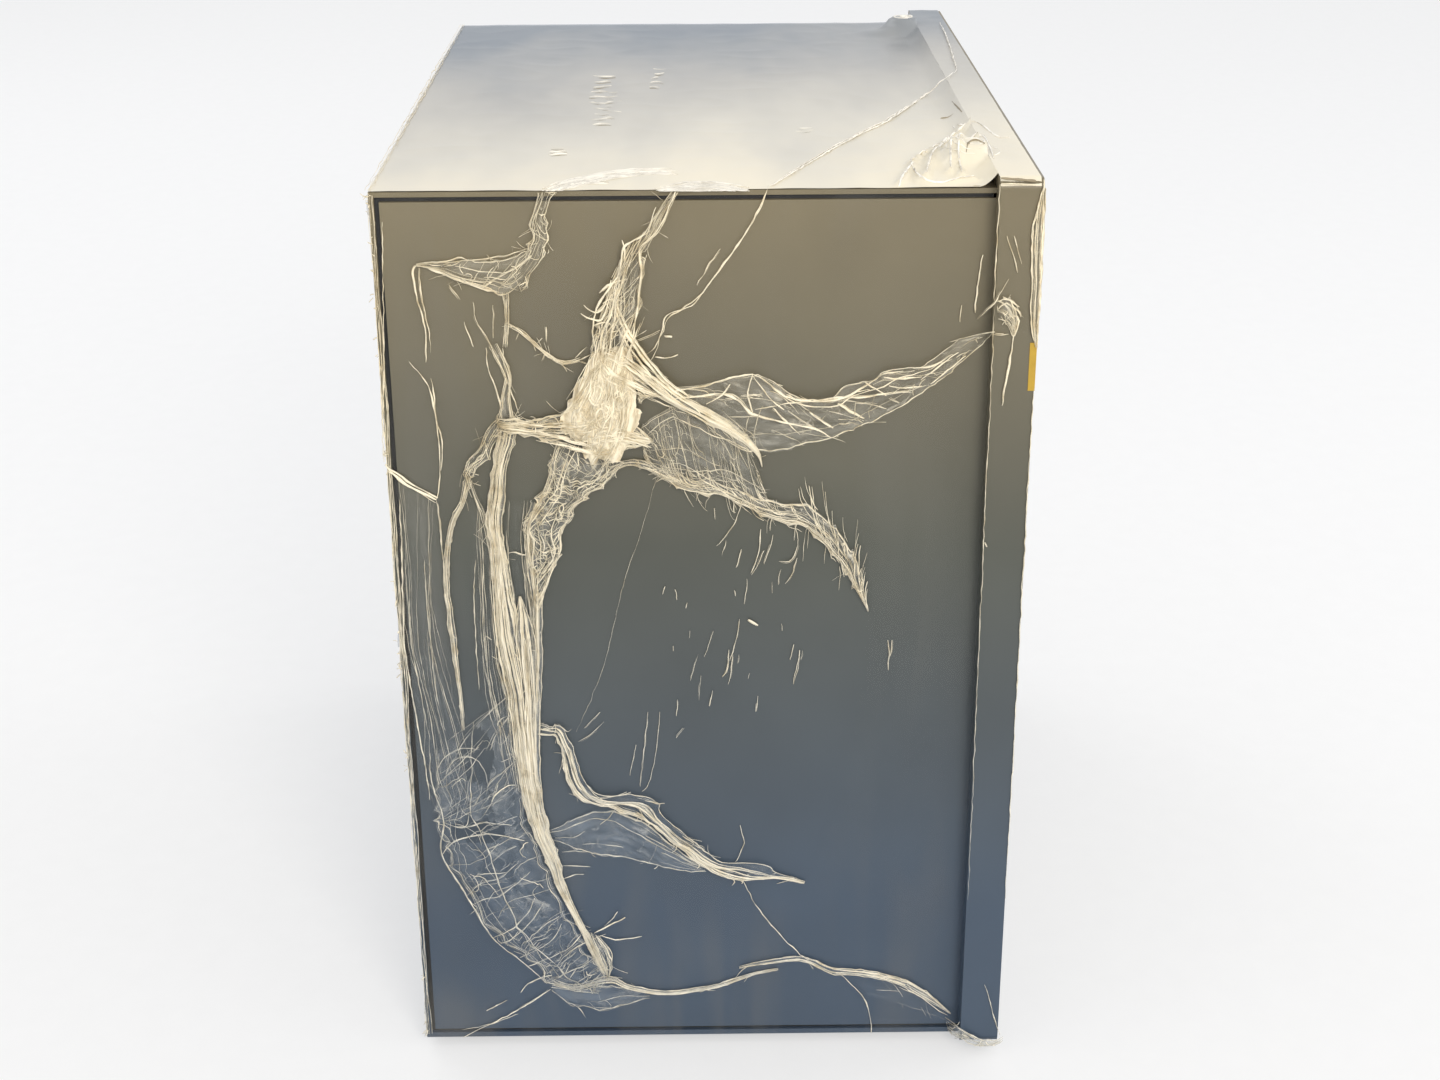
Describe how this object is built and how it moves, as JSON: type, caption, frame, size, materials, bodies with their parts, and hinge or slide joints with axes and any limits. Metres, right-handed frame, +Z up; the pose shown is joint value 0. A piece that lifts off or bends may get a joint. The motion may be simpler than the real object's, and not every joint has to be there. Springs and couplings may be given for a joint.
{
  "type": "filament dryer box",
  "caption": "Upright heated metal cabinet that dries and feeds filament spools, with hinged window door, roller cradle, fan heater, controls, desiccant drawer and top outlets, in clear film.",
  "frame": {"origin": "centre of the bottom of the bounding box, on the surface that the feet stand on", "axes": "+X to the right across the front, -Y out of the door, +Z up"},
  "size_m": [0.3888, 0.297, 0.4085],
  "materials": {
    "steel_grey": "satin dark grey paint",
    "frame_grey": "fine matte dark grey",
    "galvanised": "plain zinc",
    "stainless": "brushed",
    "mineral_wool": "fibrous",
    "bright_steel": "polished",
    "aluminium": "satin",
    "black_plastic": "fine matte",
    "fascia": "gloss black",
    "display_glass": "dark glass, switched off",
    "circuit_green": "solder mask",
    "white_plastic": "fine matte",
    "rubber_black": "matte",
    "seal_rubber": "matte silicone",
    "door_inner": "matte",
    "window_glass": "clear tempered",
    "yellow_label": "bare yellow label",
    "wire_jacket": "insulated wire",
    "clear_film": "clear shrink film"
  },
  "bodies": {
    "cabinet": {"base_tray": "steel_grey", "left_panel": "steel_grey", "right_panel": "steel_grey", "top_panel": "steel_grey", "rear_panel": "steel_grey", "front_frame": "frame_grey", "inner_frame": "galvanised", "air_duct": "galvanised", "drawer_sleeve": "galvanised", "left_bracket": "galvanised", "right_bracket": "galvanised", "strike_plates": "galvanised", "chamber_liner": "stainless", "vent_pipe": "stainless", "side_insulation": "mineral_wool", "top_insulation": "mineral_wool", "rear_insulation": "mineral_wool", "hinge_pins": "bright_steel", "roller_bearings": "bright_steel", "outlet_nuts": "bright_steel", "rear_screws": "bright_steel", "foot_screws": "bright_steel", "vent_rivet": "bright_steel", "heater_core": "aluminium", "power_supply": "aluminium", "fan_frame": "black_plastic", "inlet_socket": "black_plastic", "switch_housing": "black_plastic", "left_outlet": "black_plastic", "right_outlet": "black_plastic", "control_fascia": "fascia", "display": "display_glass", "control_board": "circuit_green", "humidity_sensor": "white_plastic", "feet": "rubber_black", "edge_label": "yellow_label", "wiring": "wire_jacket", "film_wrap": "clear_film"},
    "door": {"door_frame": "frame_grey", "door_window": "window_glass", "door_panel": "door_inner", "door_seal": "seal_rubber", "door_handle": "aluminium", "door_magnets": "bright_steel", "hinge_bushes": "white_plastic"},
    "front_roller": {"front_shaft": "bright_steel", "front_sleeves": "rubber_black"},
    "rear_roller": {"rear_shaft": "bright_steel", "rear_sleeves": "rubber_black"},
    "fan": {"fan_rotor": "black_plastic"},
    "knob": {"menu_knob": "black_plastic"},
    "up_button": {"up_key": "white_plastic"},
    "down_button": {"down_key": "white_plastic"},
    "timer_button": {"timer_key": "white_plastic"},
    "rocker": {"power_rocker": "black_plastic"},
    "shutter": {"vent_shutter": "frame_grey"},
    "drawer": {"desiccant_drawer": "frame_grey", "desiccant_lid": "stainless"},
    "left_ring": {"left_collet": "white_plastic"},
    "right_ring": {"right_collet": "white_plastic"}
  },
  "joints": [
    {"name": "door_swing", "type": "hinge", "parent": "cabinet", "child": "door", "pos_m": [-0.1725, -0.1135, 0.24175], "axis": [0, 0, -1], "range_deg": [0, 110]},
    {"name": "front_roller_spin", "type": "hinge", "parent": "cabinet", "child": "front_roller", "pos_m": [0, -0.0435, 0.13], "axis": [1, 0, 0], "continuous": true},
    {"name": "rear_roller_spin", "type": "hinge", "parent": "cabinet", "child": "rear_roller", "pos_m": [0, 0.0665, 0.13], "axis": [1, 0, 0], "continuous": true},
    {"name": "fan_spin", "type": "hinge", "parent": "cabinet", "child": "fan", "pos_m": [0, 0.0625, 0.05], "axis": [0, 0, 1], "continuous": true},
    {"name": "knob_turn", "type": "hinge", "parent": "cabinet", "child": "knob", "pos_m": [0.019, -0.12, 0.0485], "axis": [0, -1, 0], "continuous": true},
    {"name": "up_key_press", "type": "slide", "parent": "cabinet", "child": "up_button", "axis": [0, 1, 0], "range_m": [0, 0.0008], "stiffness_N_per_m": 400},
    {"name": "down_key_press", "type": "slide", "parent": "cabinet", "child": "down_button", "axis": [0, 1, 0], "range_m": [0, 0.0008], "stiffness_N_per_m": 400},
    {"name": "timer_key_press", "type": "slide", "parent": "cabinet", "child": "timer_button", "axis": [0, 1, 0], "range_m": [0, 0.0008], "stiffness_N_per_m": 400},
    {"name": "power_rocker_tilt", "type": "hinge", "parent": "cabinet", "child": "rocker", "pos_m": [-0.084, 0.1405, 0.0695], "axis": [-1, 0, 0], "range_deg": [0, 16]},
    {"name": "vent_turn", "type": "hinge", "parent": "cabinet", "child": "shutter", "pos_m": [0.105, 0.1436, 0.3325], "axis": [0, 1, 0], "range_deg": [0, 36]},
    {"name": "drawer_slide", "type": "slide", "parent": "cabinet", "child": "drawer", "axis": [0, -1, 0], "range_m": [0, 0.085]},
    {"name": "left_collet_press", "type": "slide", "parent": "cabinet", "child": "left_ring", "axis": [0, 0, -1], "range_m": [0, 0.0007], "stiffness_N_per_m": 500},
    {"name": "right_collet_press", "type": "slide", "parent": "cabinet", "child": "right_ring", "axis": [0, 0, -1], "range_m": [0, 0.0007], "stiffness_N_per_m": 500}
  ]
}
